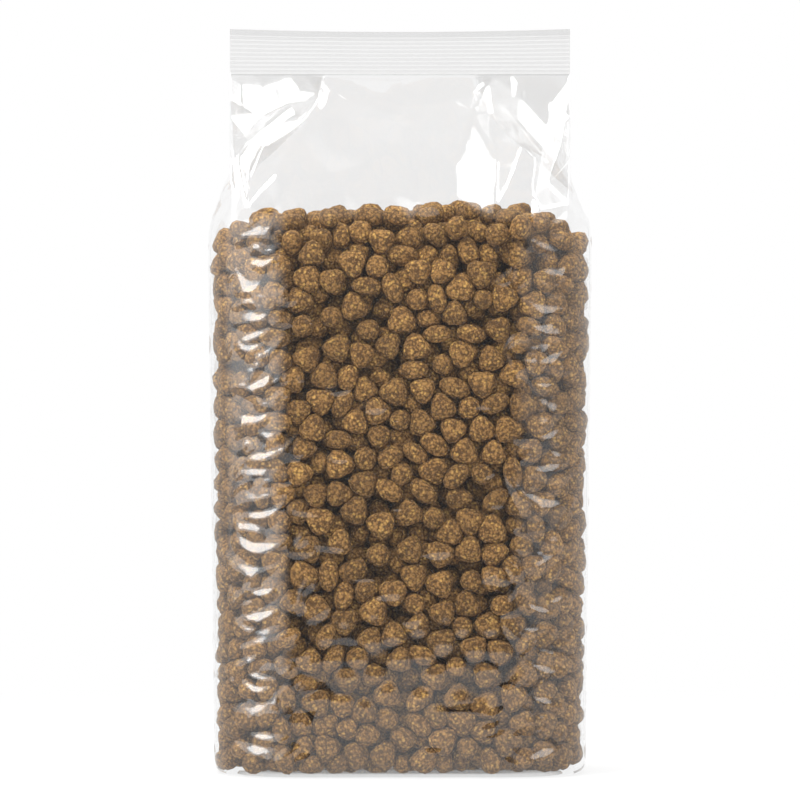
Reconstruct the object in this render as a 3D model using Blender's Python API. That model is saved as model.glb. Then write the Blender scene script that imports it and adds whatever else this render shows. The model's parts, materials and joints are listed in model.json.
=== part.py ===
"""A clear side-gusset bag full of kibble, heat-sealed across its top and standing on its base."""
import math
import random

import bmesh
import bpy
import numpy as np
from mathutils import Euler, Matrix, Vector, noise
from mathutils.bvhtree import BVHTree
from mathutils.geometry import delaunay_2d_cdt

MM = 0.001

# The film tube as it lies flat before it is filled
PANEL_WIDTH = 151 * MM
GUSSET_WIDTH = 86 * MM
FILM_WALL = 0.1 * MM
FOLD_GAP = 0.3 * MM

# The filled bag
BAG_HEIGHT = 329 * MM
BODY_DEPTH = 101.5 * MM
BODY_CORNER = 36 * MM
BODY_SPREAD = 3 * MM
BASE_EDGE = 5 * MM
CRUMPLE = 2.4 * MM
CRUMPLE_PITCH = 26 * MM

# The base, which rests on its rim, with the bottom seal folded flat in the hollow of it
BASE_RIM = 5 * MM
BASE_HOLLOW = 0.9 * MM
BOTTOM_SEAL_WIDTH = 12 * MM
BOTTOM_RIBS = 6
FOLD_EAR_THICKNESS = 0.25 * MM

# The top seal
SEAL_HEIGHT = 20.5 * MM
SEAL_RIBS = 11
SEAL_RIB_DEPTH = 0.2 * MM
SEAL_SAG = 1.3 * MM
SEAL_MARGIN = 0.05 * MM
VENT_DIAMETER = 1.2 * MM
VENT_FROM_SEAL = 16 * MM
VENT_FROM_MIDDLE = 14 * MM

# The kibble
KIBBLE_WIDTH = 12.5 * MM
KIBBLE_THICKNESS = 8 * MM
KIBBLE_LOBES = 0.1
OVAL_SHARE = 0.75
FILL_AT_SIDES = 236 * MM
HEAP_RISE = 8 * MM
KIBBLE_PITCH = 12.4 * MM
KIBBLE_SPACING = 8.6 * MM
KIBBLE_BULGE = 4 * MM
KIBBLE_UNEVEN = 1.6 * MM
KIBBLE_SHIFT = 0.2
KIBBLE_TILT = 0.3
LOOSE_ROWS_A_SIDE = 2
LOOSE_COLUMNS_A_SIDE = 4
CLEARANCE = 0.3 * MM
SEED = 11
SCATTER_TRIES = 9000
SEAT_TRIES = 16
FOLD_ANGLE = math.radians(35)

# Worked out from the sizes above
HALF_PANEL = PANEL_WIDTH / 2
HALF_GUSSET = GUSSET_WIDTH / 2
QUARTER = HALF_PANEL + HALF_GUSSET
CORNER_ARC = math.pi / 2 * BODY_CORNER
SEAL_BASE = BAG_HEIGHT - SEAL_HEIGHT
SEAL_HALF_LAYERS = 1.5 * FOLD_GAP
GUSSET_REACH = HALF_GUSSET - 1.5 * FOLD_GAP
SHOULDER = FILL_AT_SIDES - KIBBLE_THICKNESS
FILL_FLOOR = BASE_HOLLOW + FILM_WALL + CLEARANCE


def even(start, end, steps):
    """Numbers at even steps from start to end, both included."""
    return [start + (end - start) * i / steps for i in range(steps + 1)]


def smooth(t):
    """An S-curve from 0 to 1 that is level at both ends."""
    t = min(max(t, 0.0), 1.0)
    return t * t * (3 - 2 * t)


def body_halves(z):
    """Half the width and half the depth of the filled body, which spreads towards its shoulder."""
    spread = BODY_SPREAD * (min(z, SHOULDER) / SHOULDER - 0.5)
    half_depth = BODY_DEPTH / 2 - spread
    half_width = QUARTER + 2 * BODY_CORNER - CORNER_ARC - half_depth
    return half_width, half_depth


def full_section(s, z, inset):
    """The point at arc length s along a quarter of the body's rounded rectangle, moved inwards by inset."""
    half_width, half_depth = body_halves(z)
    flat = half_width - BODY_CORNER
    if s <= flat:
        return Vector((s, half_depth - inset))
    if s >= flat + CORNER_ARC:
        return Vector((half_width - inset, half_depth - BODY_CORNER - (s - flat - CORNER_ARC)))
    angle = (s - flat) / BODY_CORNER
    radius = BODY_CORNER - inset
    return Vector((flat + radius * math.sin(angle), half_depth - BODY_CORNER + radius * math.cos(angle)))


def folded_section(s, half_depth):
    """The same point where the gusset is folded in between the panels, half_depth from the middle."""
    if s <= HALF_PANEL:
        return Vector((s, half_depth))
    if s <= HALF_PANEL + FOLD_GAP:
        return Vector((HALF_PANEL, half_depth - (s - HALF_PANEL)))
    across = min(half_depth - SEAL_HALF_LAYERS, GUSSET_REACH)
    along = math.sqrt(GUSSET_REACH**2 - across**2)
    share = (s - HALF_PANEL - FOLD_GAP) / GUSSET_REACH
    return Vector((HALF_PANEL - along * share, half_depth - FOLD_GAP - across * share))


def film_point(s, side_x, side_y, z, inset=0.0):
    """A point of the film's outer face, side_x and side_y choosing the quarter."""
    fold = smooth((z - SHOULDER) / (SEAL_BASE - SHOULDER))
    half_depth = SEAL_HALF_LAYERS + (body_halves(z)[1] - SEAL_HALF_LAYERS) * (1 - fold)
    point = full_section(s, z, inset).lerp(folded_section(s, half_depth), fold)
    place = Vector((side_x * point.x, side_y * point.y, z))
    ripple = CRUMPLE * 4 * fold * (1 - fold) * noise.noise(place / CRUMPLE_PITCH)
    return place + Vector((0, ripple, 0))


def quarter_stations():
    """Arc lengths of the section's points from the middle of a panel to the middle of a gusset."""
    flat = body_halves(SHOULDER / 2)[0] - BODY_CORNER
    arc_end = flat + CORNER_ARC
    panel = even(0, flat, 2) + even(flat, HALF_PANEL, 3)[1:]
    gusset = even(HALF_PANEL + FOLD_GAP, arc_end, 4) + even(arc_end, QUARTER - FOLD_GAP / 2, 2)[1:]
    return panel + gusset


def loop_stations():
    """The whole section's points as arc length and quarter, anticlockwise from the middle of the front."""
    out = quarter_stations()
    back = out[:0:-1]
    loop = [(s, 1, -1) for s in out] + [(s, 1, 1) for s in back]
    loop += [(s, -1, 1) for s in out] + [(s, -1, -1) for s in back]
    return loop


def base_rows():
    """Height and inset of the film's rows from the hollow of the base out and up to the full section."""
    rows = [(BASE_HOLLOW, BASE_EDGE + BASE_RIM + BASE_HOLLOW), (0, BASE_EDGE + BASE_RIM)]
    for angle in even(0, math.pi / 2, 2):
        rows.append((BASE_EDGE * (1 - math.cos(angle)), BASE_EDGE * (1 - math.sin(angle))))
    return rows


def material(name, colour, roughness, alpha=1.0):
    """A plain material with a colour, a roughness and how solid it looks."""
    mat = bpy.data.materials.new(name)
    mat.use_nodes = True
    shader = mat.node_tree.nodes["Principled BSDF"]
    shader.inputs["Base Color"].default_value = (*colour, 1)
    shader.inputs["Roughness"].default_value = roughness
    shader.inputs["Metallic"].default_value = 0
    shader.inputs["Alpha"].default_value = alpha
    return mat


def add_object(name, bm, mat=None):
    """An object made from a bmesh, shaded smooth except at its folds."""
    mesh = bpy.data.meshes.new(name)
    bmesh.ops.recalc_face_normals(bm, faces=bm.faces)
    bm.to_mesh(mesh)
    bm.free()
    mesh.shade_smooth()
    mesh.set_sharp_from_angle(angle=FOLD_ANGLE)
    if mat:
        mesh.materials.append(mat)
    obj = bpy.data.objects.new(name, mesh)
    bpy.context.collection.objects.link(obj)
    return obj


def helper(name, bm):
    """An object that only adds to another or cuts it."""
    obj = add_object(name, bm)
    obj.hide_render = True
    obj.display_type = "WIRE"
    return obj


def combine(obj, other, operation):
    """Adds other to obj, or cuts it away."""
    boolean = obj.modifiers.new(other.name, "BOOLEAN")
    boolean.object = other
    boolean.operation = operation
    boolean.solver = "EXACT"


def skin_rows(bm, rows):
    """Quads between rows of points, each row closed on itself."""
    rings = [[bm.verts.new(point) for point in row] for row in rows]
    for low, high in zip(rings, rings[1:]):
        for i in range(len(low)):
            bm.faces.new((low[i - 1], low[i], high[i], high[i - 1]))
    return rings


def film_tube():
    """The film from its base up into the top seal, as one open sheet."""
    rows = base_rows()
    rows += [(z, 0) for z in even(BASE_EDGE, SHOULDER, 4)[1:]]
    rows += [(z, 0) for z in even(SHOULDER, SEAL_BASE, 7)[1:]]
    points = [[film_point(*station, z, inset) for station in loop_stations()] for z, inset in rows]
    overlap = Vector((0, 0, SEAL_HEIGHT / SEAL_RIBS / 2))
    points.append([point + overlap for point in points[-1]])
    bm = bmesh.new()
    rings = skin_rows(bm, points)
    bm.faces.new(rings[0])
    return bm


def ribbed_profile(length, ribs, half_thickness):
    """The outline of a ribbed seal across its thickness, from its foot up one side and down the other."""
    side = [(half_thickness, 0)]
    for rib in range(ribs):
        side.append((half_thickness + SEAL_RIB_DEPTH, length * (rib + 0.5) / ribs))
        side.append((half_thickness, length * (rib + 1) / ribs))
    return [(-y, z) for y, z in side] + [(y, z) for y, z in reversed(side)]


def top_seal():
    """The ribbed seal band, thicker at its ends where the gusset's layers lie between the panels."""
    two_layers = SEAL_HALF_LAYERS + SEAL_MARGIN
    four_layers = two_layers + FILM_WALL
    inner_fold = HALF_PANEL - GUSSET_REACH
    end = HALF_PANEL + SEAL_MARGIN
    half = [(inner_fold - FOLD_GAP, two_layers), (inner_fold, four_layers), (end, four_layers)]
    stations = [(-x, thick) for x, thick in reversed(half)] + [(0, two_layers)] + half
    rows = []
    for x, thick in stations:
        sag = SEAL_SAG * (1 - (x / end) ** 2)
        profile = ribbed_profile(SEAL_HEIGHT, SEAL_RIBS, thick)
        top = [z > SEAL_HEIGHT - SEAL_MARGIN for y, z in profile]
        rows.append([(x, y, SEAL_BASE + z - sag * cut) for (y, z), cut in zip(profile, top)])
    bm = bmesh.new()
    rings = skin_rows(bm, rows)
    bm.faces.new(rings[0])
    bm.faces.new(rings[-1])
    return bm


def hollow_half_length():
    """Half the length of the hollow in the base."""
    return body_halves(0)[0] - BASE_EDGE - BASE_RIM - BASE_HOLLOW


def bottom_seal():
    """The bottom seal, folded flat against the hollow of the base from its middle towards the back."""
    half_length = min(hollow_half_length() - FOLD_GAP, HALF_PANEL)
    half_thickness = (BASE_HOLLOW - SEAL_RIB_DEPTH) / 3
    profile = ribbed_profile(BOTTOM_SEAL_WIDTH, BOTTOM_RIBS, half_thickness)
    middle = BASE_HOLLOW - half_thickness
    rows = [[(x, z, middle + y) for y, z in profile] for x in (-half_length, 0, half_length)]
    bm = bmesh.new()
    rings = skin_rows(bm, rows)
    bm.faces.new(rings[0])
    bm.faces.new(rings[-1])
    return bm


def fold_ear(side):
    """The doubled triangle that a gusset makes at one end of the base, cut off by its rounded corners."""
    tip = HALF_PANEL - GUSSET_REACH
    end = hollow_half_length() - FOLD_GAP
    straight = body_halves(0)[1] - BODY_CORNER
    cut = (BODY_CORNER - BASE_EDGE - BASE_RIM - BASE_HOLLOW) * (1 - math.sqrt(0.5)) + FOLD_GAP
    half = [(tip, 0), (end - cut, end - cut - tip), (end, straight)]
    corners = [(side * x, y) for x, y in half + [(x, -y) for x, y in reversed(half[1:])]]
    bm = bmesh.new()
    face = bm.faces.new([bm.verts.new((x, y, BASE_HOLLOW - FOLD_EAR_THICKNESS)) for x, y in corners])
    raised = bmesh.ops.extrude_face_region(bm, geom=[face])["geom"]
    lift = Vector((0, 0, FOLD_EAR_THICKNESS + FILM_WALL / 2))
    bmesh.ops.translate(bm, vec=lift, verts=[v for v in raised if isinstance(v, bmesh.types.BMVert)])
    return bm


def vent():
    """The cutter for the pinhole in the back panel that lets air out when the bag is stacked."""
    z = SEAL_BASE - VENT_FROM_SEAL
    back = film_point(VENT_FROM_MIDDLE, 1, 1, z)
    bm = bmesh.new()
    turn = Matrix.Rotation(math.pi / 2, 4, "X")
    bmesh.ops.create_cone(
        bm,
        cap_ends=True,
        segments=8,
        radius1=VENT_DIAMETER / 2,
        radius2=VENT_DIAMETER / 2,
        depth=back.y,
        matrix=Matrix.Translation(back) @ turn,
    )
    return bm


def make_film():
    """The bag's film: tube, base, top seal and bottom seal as one piece."""
    film = add_object("bag_film", film_tube(), material("clear film", (0.9, 0.9, 0.91), 0.08, 0.3))
    wall = film.modifiers.new("wall", "SOLIDIFY")
    wall.thickness = FILM_WALL
    wall.offset = -1
    wall.use_even_offset = True
    combine(film, helper("top_seal", top_seal()), "UNION")
    combine(film, helper("bottom_seal", bottom_seal()), "UNION")
    combine(film, helper("right_ear", fold_ear(1)), "UNION")
    combine(film, helper("left_ear", fold_ear(-1)), "UNION")
    combine(film, helper("vent", vent()), "DIFFERENCE")
    return film


def heap_height(x, y):
    """The height of the kibble's top before its bumps, higher in the middle than at the sides."""
    half_width, half_depth = body_halves(SHOULDER)
    rise = HEAP_RISE * (1 - (x / half_width) ** 2) * (1 - 0.25 * (y / half_depth) ** 2)
    uneven = 2 * KIBBLE_UNEVEN * noise.noise(Vector((x, y, 0)) / (4 * KIBBLE_PITCH))
    return FILL_AT_SIDES + rise + uneven


def clear_of_film(point, film, room):
    """The point, moved inwards where it is nearer to the film than room."""
    place, normal, _, _ = film.find_nearest(point)
    depth = (place - point).dot(normal)
    return point - normal * max(room - depth, 0)


def scatter(length, height):
    """Kibbles over a strip that closes on itself: even rows along both edges, then at random between."""
    count = round(length / KIBBLE_PITCH)
    points = [(length * i / count, edge) for edge in (0, height) for i in range(count)]
    for _ in range(SCATTER_TRIES):
        s, v = random.uniform(0, length), random.uniform(0, height)
        along, up = np.abs(np.array(points) - (s, v)).T
        if np.hypot(np.minimum(along, length - along), up).min() > KIBBLE_SPACING:
            points.append((s, v))
    return points, count


def strip_triangles(points, length):
    """The triangles between the kibbles of the strip, across its join too."""
    margin = 4 * KIBBLE_PITCH
    copies = [
        (Vector((s + shift, v)), number)
        for number, (s, v) in enumerate(points)
        for shift in (-length, 0, length)
        if -margin < s + shift < length + margin
    ]
    places = [place for place, _ in copies]
    triangles = []
    for face in delaunay_2d_cdt(places, [], [], 0, 1e-7)[2]:
        if 0 <= sum(places[i].x for i in face) < 3 * length:
            triangles.append(tuple(copies[i][1] for i in face))
    return triangles


def on_side(s):
    """Arc length from the nearest panel's middle, and the quarter, at s around the bag from its front."""
    quarter, along = divmod(s, QUARTER)
    along = QUARTER - along if quarter in (1, 3) else along
    return along, 1 if quarter in (0, 1) else -1, -1 if quarter in (0, 3) else 1


def side_peaks(points, count, height, film):
    """The strip's kibbles where they lie against the film, those of its top edge a little further in."""
    room = FILM_WALL + CLEARANCE
    peaks = []
    for number, (s, v) in enumerate(points):
        quarter = on_side(s)
        edge = film_point(*quarter, SHOULDER)
        z = FILL_FLOOR + (heap_height(edge.x, edge.y) - FILL_FLOOR) * v / height
        inset = room
        if number >= 2 * count:
            inset += random.uniform(0, KIBBLE_UNEVEN)
        elif number >= count:
            inset += KIBBLE_BULGE
        if z < BASE_EDGE:
            inset += BASE_EDGE - math.sqrt(BASE_EDGE**2 - (BASE_EDGE - z) ** 2)
        peaks.append(clear_of_film(film_point(*quarter, z, inset), film, room))
    return peaks


def staggered_places(rows, columns, row_pitch, pitch):
    """Places in staggered rows on both sides of the heap's middle, each shifted a little at random."""
    places = []
    for row in range(-rows, rows + 1):
        for column in range(-columns, columns + 1):
            x = column + row % 2 / 2 + random.uniform(-KIBBLE_SHIFT, KIBBLE_SHIFT)
            y = row + random.uniform(-KIBBLE_SHIFT, KIBBLE_SHIFT)
            places.append(Vector((x * pitch, y * row_pitch)))
    return places


def loose_places():
    """Places of the loose kibbles, whose rows and columns spread with the bag."""
    half_width, half_depth = body_halves(SHOULDER)
    row_pitch = (half_depth - KIBBLE_WIDTH) / (LOOSE_ROWS_A_SIDE + KIBBLE_SHIFT)
    pitch = (half_width - KIBBLE_WIDTH) / (LOOSE_COLUMNS_A_SIDE + 0.5 + KIBBLE_SHIFT)
    return staggered_places(LOOSE_ROWS_A_SIDE, LOOSE_COLUMNS_A_SIDE, row_pitch, pitch)


def within_heap(place, margin):
    """True if a place is on the heap and at least margin from its edges."""
    half_width, half_depth = body_halves(SHOULDER)
    return abs(place.x) < half_width - margin and abs(place.y) < half_depth - margin


def top_peaks(ring, film):
    """Kibbles on top of the heap, inside the ring of those at its edge."""
    half_width, half_depth = body_halves(SHOULDER)
    row_pitch = KIBBLE_PITCH * math.sqrt(3) / 2
    rows, columns = int(half_depth / row_pitch), int(half_width / KIBBLE_PITCH) + 1
    peaks = []
    for place in staggered_places(rows, columns, row_pitch, KIBBLE_PITCH):
        from_ring = min((place - peak.xy).length for peak in ring)
        if within_heap(place, KIBBLE_PITCH / 2) and from_ring > KIBBLE_SPACING:
            z = heap_height(*place) + random.uniform(-KIBBLE_UNEVEN, KIBBLE_UNEVEN)
            peaks.append(clear_of_film(Vector((*place, z)), film, KIBBLE_BULGE))
    return peaks


def top_triangles(ring, peaks, first_peak):
    """The triangles over the heap's top, between its ring and the peaks numbered from first_peak on."""
    flat = [point.xy for point in ring + peaks]
    edge = list(range(len(ring)))
    numbers = [len(ring) + i for i in edge] + [first_peak + i for i in range(len(peaks))]
    faces = delaunay_2d_cdt(flat, [], [edge], 1, 1e-7)[2]
    return [tuple(numbers[i] for i in face) for face in faces]


def bumpy_skin(bm, peaks, triangles):
    """A skin with a peak at each kibble and a hollow between each three, wider round a larger kibble."""
    verts = [bm.verts.new(peak) for peak in peaks]
    weight = [random.uniform(0.7, 1.4) for _ in peaks]
    hollows = {}
    for corners in triangles:
        a, b, c = (peaks[i] for i in corners)
        pull = [1 / weight[i] for i in corners]
        middle = sum((p * w for p, w in zip((a, b, c), pull)), Vector()) / sum(pull)
        inward = -(b - a).cross(c - a).normalized()
        hollow = bm.verts.new(middle + inward * KIBBLE_BULGE)
        for start, end in zip(corners, corners[1:] + corners[:1]):
            hollows[start, end] = hollow
    for (start, end), hollow in hollows.items():
        across = hollows.get((end, start))
        if across:
            bm.faces.new((verts[start], across, hollow))
        else:
            bm.faces.new((verts[start], verts[end], hollow))
    return verts


def make_fill(film, mat):
    """The kibble behind the film: fused into one mass whose skin shows each piece as a bump."""
    around, height = 4 * QUARTER, FILL_AT_SIDES + HEAP_RISE / 2
    points, count = scatter(around, height)
    sides = side_peaks(points, count, height, film)
    ring = sides[count : 2 * count]
    top = top_peaks(ring, film)
    triangles = strip_triangles(points, around) + top_triangles(ring, top, len(sides))
    bm = bmesh.new()
    verts = bumpy_skin(bm, sides + top, triangles)
    bm.faces.new(verts[count - 1 :: -1])
    return add_object("kibble_fill", bm, mat)


def kibble_mesh(name, width, length, thickness, lobes, mat):
    """A kibble's shape: a pillow with three rounded corners, or an oval one with no lobes."""
    bm = bmesh.new()
    bmesh.ops.create_uvsphere(bm, u_segments=9, v_segments=4, radius=0.5)
    for vert in bm.verts:
        reach = 1 + lobes * math.cos(3 * math.atan2(vert.co.y, vert.co.x))
        vert.co = Vector((vert.co.x * width * reach, vert.co.y * length * reach, vert.co.z * thickness))
    mesh = bpy.data.meshes.new(name)
    bm.to_mesh(mesh)
    bm.free()
    mesh.shade_smooth()
    mesh.materials.append(mat)
    return mesh


def kibble_forms(mat):
    """The three shapes of kibble in the bag."""
    width, thickness = KIBBLE_WIDTH, KIBBLE_THICKNESS
    return [
        kibble_mesh("three_cornered", width, width, thickness, KIBBLE_LOBES, mat),
        kibble_mesh("oval", width, OVAL_SHARE * width, thickness, 0, mat),
        kibble_mesh("small_round", OVAL_SHARE * width, OVAL_SHARE * width, thickness, 0, mat),
    ]


def tree_of(mesh, matrix):
    """A search tree of a mesh where matrix puts it, with its points."""
    points = [matrix @ vert.co for vert in mesh.vertices]
    faces = [face.vertices[:] for face in mesh.polygons]
    return BVHTree.FromPolygons(points, faces), points


def lying(place, z, turn):
    """Where a kibble is when it lies at a place and height."""
    return Matrix.LocRotScale(Vector((place.x, place.y, z)), turn, None)


def seat_height(mesh, place, turn, carriers):
    """How high a kibble lies when it comes down on the carriers with the clearance between them."""
    tree, points = tree_of(mesh, lying(place, SEAL_BASE, turn))
    drops = [SEAL_BASE]
    for carrier, carrier_points in carriers:
        hits = [carrier.ray_cast(point, Vector((0, 0, -1)))[3] for point in points]
        near = [point for point in carrier_points if (point.xy - place).length < KIBBLE_WIDTH]
        hits += [tree.ray_cast(point, Vector((0, 0, 1)))[3] for point in near]
        drops += [hit for hit in hits if hit is not None]
    z = SEAL_BASE - min(drops) + CLEARANCE
    while any(carrier.overlap(tree_of(mesh, lying(place, z, turn))[0]) for carrier, _ in carriers):
        z += CLEARANCE / 2
    return z


def seat_inside(mesh, place, turn, carriers, film):
    """Where a kibble comes to lie, moved in towards the middle until it is clear of the film."""
    room = FILM_WALL + CLEARANCE
    for _ in range(SEAT_TRIES):
        matrix = lying(place, seat_height(mesh, place, turn, carriers), turn)
        points = tree_of(mesh, matrix)[1]
        if all(clear_of_film(point, film, room) == point for point in points):
            break
        place = place * (1 - KIBBLE_LOBES)
    return matrix


def make_loose_kibbles(film, fill, mat):
    """The kibbles that lie loose on top of the heap, each seated on what carries it."""
    forms = kibble_forms(mat)
    carriers = [tree_of(fill.data, Matrix())]
    for number, place in enumerate(loose_places(), 1):
        mesh = random.choices(forms, (5, 3, 2))[0]
        tilt_x, tilt_y = random.uniform(-KIBBLE_TILT, KIBBLE_TILT), random.uniform(-KIBBLE_TILT, KIBBLE_TILT)
        turn = Euler((tilt_x, tilt_y, random.uniform(0, 2 * math.pi))).to_quaternion()
        kibble = bpy.data.objects.new(f"kibble_{number:02d}", mesh)
        kibble.matrix_world = seat_inside(mesh, place, turn, carriers, film)
        bpy.context.collection.objects.link(kibble)
        carriers.append(tree_of(mesh, kibble.matrix_world))


def main():
    for obj in list(bpy.data.objects):
        bpy.data.objects.remove(obj, do_unlink=True)
    random.seed(SEED)
    film = make_film()
    film_tree = tree_of(film.data, Matrix())[0]
    kibble = material("kibble", (0.24, 0.13, 0.055), 0.9)
    fill = make_fill(film_tree, kibble)
    make_loose_kibbles(film_tree, fill, kibble)


main()
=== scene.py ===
"""A clear side-gusset bag of kibble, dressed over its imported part."""

import json
import math

import bmesh
import bpy
import numpy as np
from bpy.props import FloatProperty, FloatVectorProperty, IntProperty, PointerProperty
from mathutils import Matrix, Quaternion, Vector
from mathutils.geometry import delaunay_2d_cdt

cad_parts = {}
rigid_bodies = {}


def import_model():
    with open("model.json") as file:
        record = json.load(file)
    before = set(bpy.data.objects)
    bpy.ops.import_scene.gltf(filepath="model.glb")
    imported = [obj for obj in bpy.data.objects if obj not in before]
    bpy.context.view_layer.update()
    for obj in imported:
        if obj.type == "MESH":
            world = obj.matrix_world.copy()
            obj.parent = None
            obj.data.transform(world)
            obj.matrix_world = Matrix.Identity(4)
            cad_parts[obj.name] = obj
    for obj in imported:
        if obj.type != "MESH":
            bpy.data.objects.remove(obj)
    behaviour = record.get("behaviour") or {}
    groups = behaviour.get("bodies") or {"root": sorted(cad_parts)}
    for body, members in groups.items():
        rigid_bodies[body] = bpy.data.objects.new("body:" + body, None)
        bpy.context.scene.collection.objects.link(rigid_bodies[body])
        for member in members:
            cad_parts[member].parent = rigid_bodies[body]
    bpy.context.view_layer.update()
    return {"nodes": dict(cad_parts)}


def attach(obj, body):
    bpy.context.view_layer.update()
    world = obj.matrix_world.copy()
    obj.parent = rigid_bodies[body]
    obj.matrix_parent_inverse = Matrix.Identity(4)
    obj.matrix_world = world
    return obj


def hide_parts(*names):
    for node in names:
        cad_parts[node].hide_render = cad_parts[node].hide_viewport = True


bl_info = {
    "name": "Pet food bag",
    "version": (1, 0, 0),
    "blender": (4, 5, 0),
    "location": "3D Viewport > Sidebar > Pet Food Bag",
    "description": "Makes the film, the kibble and the stage of a clear side-gusset bag",
    "category": "Object",
}

MM = 0.001
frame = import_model()
KIBBLE_NODES = sorted(name for name in frame["nodes"] if name.startswith("kibble"))


def linear(code):
    """A colour's red, green and blue as light, from its sRGB hex code."""
    channels = [int(code[i : i + 2], 16) / 255 for i in (1, 3, 5)]
    return tuple(c / 12.92 if c <= 0.04045 else ((c + 0.055) / 1.055) ** 2.4 for c in channels)


def length(name, description, millimetres):
    """A size that a user can change."""
    metres = millimetres * MM
    return FloatProperty(name=name, description=description, default=metres, unit="LENGTH", precision=4)


def colour(name, description, code):
    """A colour that a user can change."""
    return FloatVectorProperty(name=name, description=description, default=linear(code), subtype="COLOR")


class BagSizes(bpy.types.PropertyGroup):
    """Sizes of the film bag."""

    panel_width: length("Panel width", "Width of the front and back panels as the bag lies flat", 151)
    gusset_width: length("Gusset width", "Width of each side gusset, opened flat", 86)
    fold_gap: length("Fold gap", "Room between the layers at a fold", 0.3)
    height: length("Height", "Height of the whole bag", 329)
    depth: length("Depth", "Depth of the filled body", 101.5)
    corner: length("Corner radius", "Radius of the body's upright corners", 36)
    spread: length("Spread", "How much the body widens towards its shoulder", 3)
    base_edge: length("Base edge", "Radius of the edge round the base", 5)
    base_rim: length("Base rim", "Width of the ring that the bag rests on", 5)
    base_hollow: length("Base hollow", "Height of the hollow inside the ring", 0.9)
    seal_height: length("Seal height", "Height of the ribbed top seal", 20.5)
    seal_sag: length("Seal sag", "How far the seal's top edge dips in the middle", 1.3)
    seal_ribs: IntProperty(name="Seal ribs", description="Ribs pressed into the top seal", default=11)
    rib_depth: length("Rib depth", "Depth of the ribs in the seals", 0.2)
    bottom_seal_width: length("Bottom seal", "Width of the seal that lies folded under the base", 12)
    bottom_ribs: IntProperty(name="Bottom ribs", description="Ribs pressed into the bottom seal", default=6)
    crease_depth: length("Crease depth", "Depth of the film's creases over the fill", 1.1)
    crease_middle: length("Crease middle", "Distance from a panel's middle to its creased corners", 62)
    crease_seed: IntProperty(name="Crease seed", description="Chooses other creases", default=3)


class KibbleSizes(bpy.types.PropertyGroup):
    """Sizes and colours of the kibble."""

    width: length("Width", "Width of a three-cornered kibble", 12.5)
    thickness: length("Thickness", "Thickness of a kibble", 8)
    number: IntProperty(name="Number", description="How many kibbles the pouring aims for", default=4000)
    fill_at_sides: length("Fill height", "Height of the kibble at the bag's sides", 236)
    heap_rise: length("Heap rise", "How much higher the kibble lies in the middle, below the loose ones", 9)
    side_room: length("Side room", "How far the film stands off the kibble at the sides", 2.6)
    lumps: length("Lump depth", "Depth of the lumps on a kibble", 0.9)
    lump_pitch: length("Lump pitch", "Distance between the lumps on a kibble", 4.5)
    seed: IntProperty(name="Seed", description="Chooses another pouring of the kibble", default=7)
    meal: colour("Meal", "Colour of the baked meal", "#A27A46")
    crust: colour("Crust", "Colour of the darker, browned crust", "#533A1F")
    crumb: colour("Crumb", "Colour of the pale grain crumbs and fibres", "#D3A95C")


class FilmFinish(bpy.types.PropertyGroup):
    """Finish of the clear film."""

    tint: colour("Tint", "Tint of the light that comes through one layer", "#FBFBFB")
    haze: colour("Haze", "Colour of the faint milkiness of the film", "#EEECEA")


class StageSizes(bpy.types.PropertyGroup):
    """Sizes and colours of the stage."""

    camera_distance: length("Camera distance", "Distance from the bag's middle to the camera", 2200)
    camera_height: length("Camera height", "Height of the camera, which looks level", 164.3)
    floor_front: length("Floor in front", "How far the pale floor reaches in front of the bag's middle", 1850)
    floor: colour("Floor", "Colour of the floor", "#F4F4F4")
    left_panel: FloatProperty(name="Left panel", description="Brightness of the left panel", default=6.5)
    right_panel: FloatProperty(name="Right panel", description="Brightness of the right panel", default=2.6)


def bag():
    """The bag's sizes."""
    return bpy.context.scene.bag_sizes


def kibble():
    """The kibble's sizes and colours."""
    return bpy.context.scene.kibble_sizes


def node(tree, kind, inputs=None, **settings):
    """Adds a node with its settings. inputs gives each socket a value or the output that feeds it."""
    made = tree.nodes.new(kind)
    for name, value in settings.items():
        setattr(made, name, value)
    for key, value in (inputs or {}).items():
        if isinstance(value, bpy.types.NodeSocket):
            tree.links.new(value, made.inputs[key])
        else:
            made.inputs[key].default_value = value
    return made


def maths(tree, operation, *values):
    """The output of a maths node over numbers or other outputs."""
    return node(tree, "ShaderNodeMath", dict(enumerate(values)), operation=operation).outputs[0]


def mapped(tree, value, low, high, to_low=0.0, to_high=1.0, kind="LINEAR"):
    """The output of a node that maps the range from low to high onto another."""
    limits = {"Value": value, "From Min": low, "From Max": high, "To Min": to_low, "To Max": to_high}
    return node(tree, "ShaderNodeMapRange", limits, interpolation_type=kind).outputs[0]


def mixed_colours(tree, factor, first, second):
    """The output of a node that mixes two colours."""
    inputs = {"Factor": factor, "A": first, "B": second}
    return node(tree, "ShaderNodeMix", inputs, data_type="RGBA").outputs[2]


def new_material(name):
    """An empty node material and its tree."""
    material = bpy.data.materials.new(name)
    material.use_nodes = True
    material.node_tree.nodes.clear()
    return material, material.node_tree


def mesh_object(name, points, faces, material=None, smooth=True):
    """An object from points and faces, with its place in its mesh."""
    mesh = bpy.data.meshes.new(name)
    mesh.from_pydata(points, [], faces)
    mesh.update()
    if smooth:
        mesh.shade_smooth()
    if material:
        mesh.materials.append(material)
    made = bpy.data.objects.new(name, mesh)
    bpy.context.scene.collection.objects.link(made)
    return made


def settle(made, name, *replaced):
    """Puts a finished piece on the frame, in place of the nodes that it stands for."""
    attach(made, "root")
    if replaced:
        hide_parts(*replaced)


def smooth_step(t):
    """A soft step from 0 to 1."""
    t = np.clip(t, 0, 1)
    return t * t * (3 - 2 * t)


# The film's shape, by the same rules as the part's: a rounded rectangle round the fill that turns into
# a folded M at the seal, at a constant length of film round the bag.


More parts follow.
